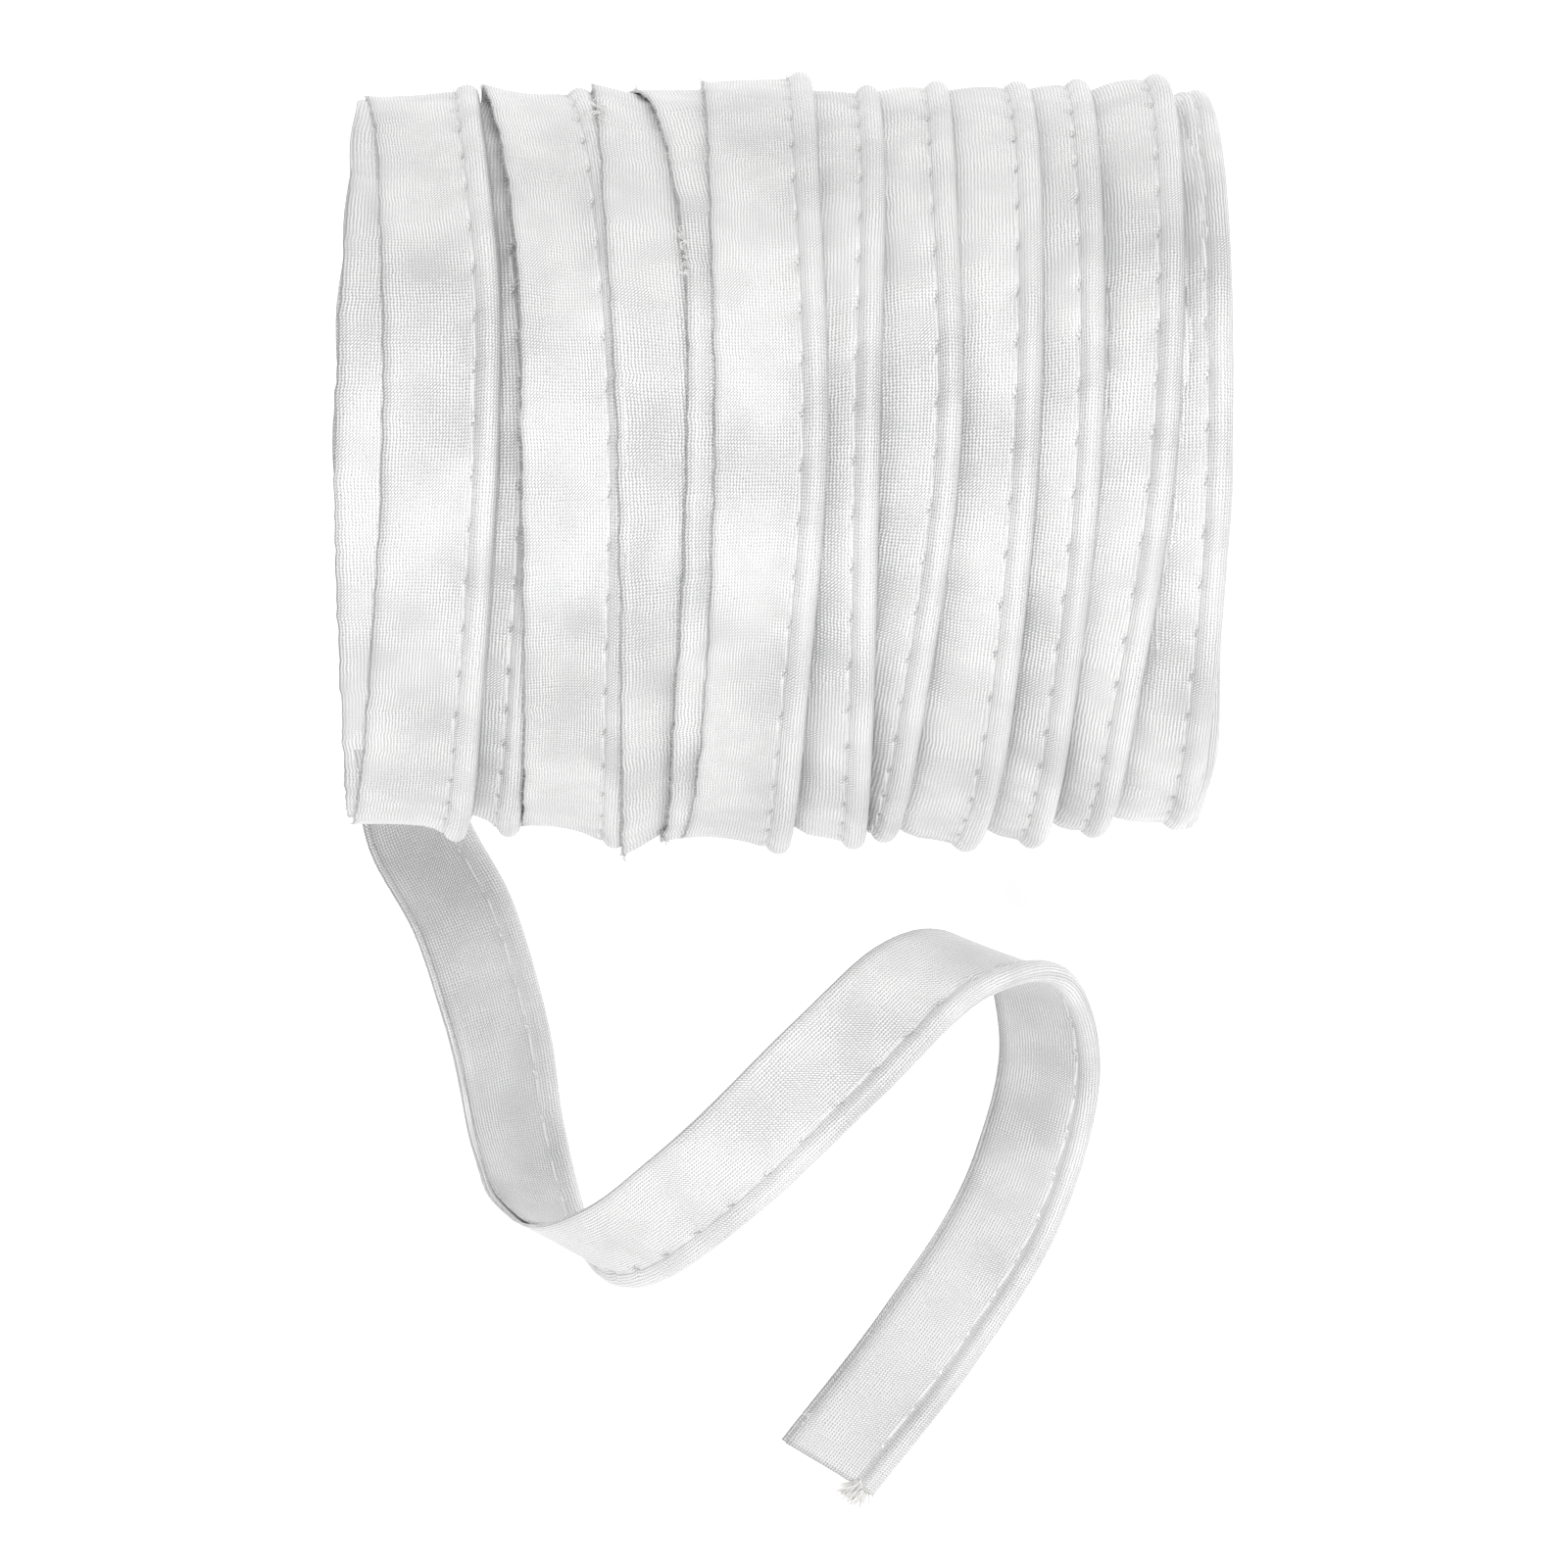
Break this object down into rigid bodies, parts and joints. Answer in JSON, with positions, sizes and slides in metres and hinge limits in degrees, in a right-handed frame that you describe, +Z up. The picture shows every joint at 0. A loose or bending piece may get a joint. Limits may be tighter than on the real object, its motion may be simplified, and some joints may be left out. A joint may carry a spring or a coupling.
{
  "type": "roll of bias piping",
  "caption": "Wound roll of white satin bias piping lying on its side, with a loose end that curls up off the table and down again.",
  "frame": {"origin": "middle of the small flat spot under the roll, on the surface it rests on", "axes": "+X along the roll's axis towards the beaded end, +Z up, +Y away from the loose end"},
  "size_m": [0.0755, 0.1303, 0.0653],
  "materials": {
    "satin": "satin weave cut on the bias, white, soft sheen",
    "cotton": "matt cotton, for the filler cord, sewing thread and loose yarns"
  },
  "bodies": {
    "root": {"winding": "satin", "tail": "satin", "cord_end": "cotton"}
  },
  "joints": []
}
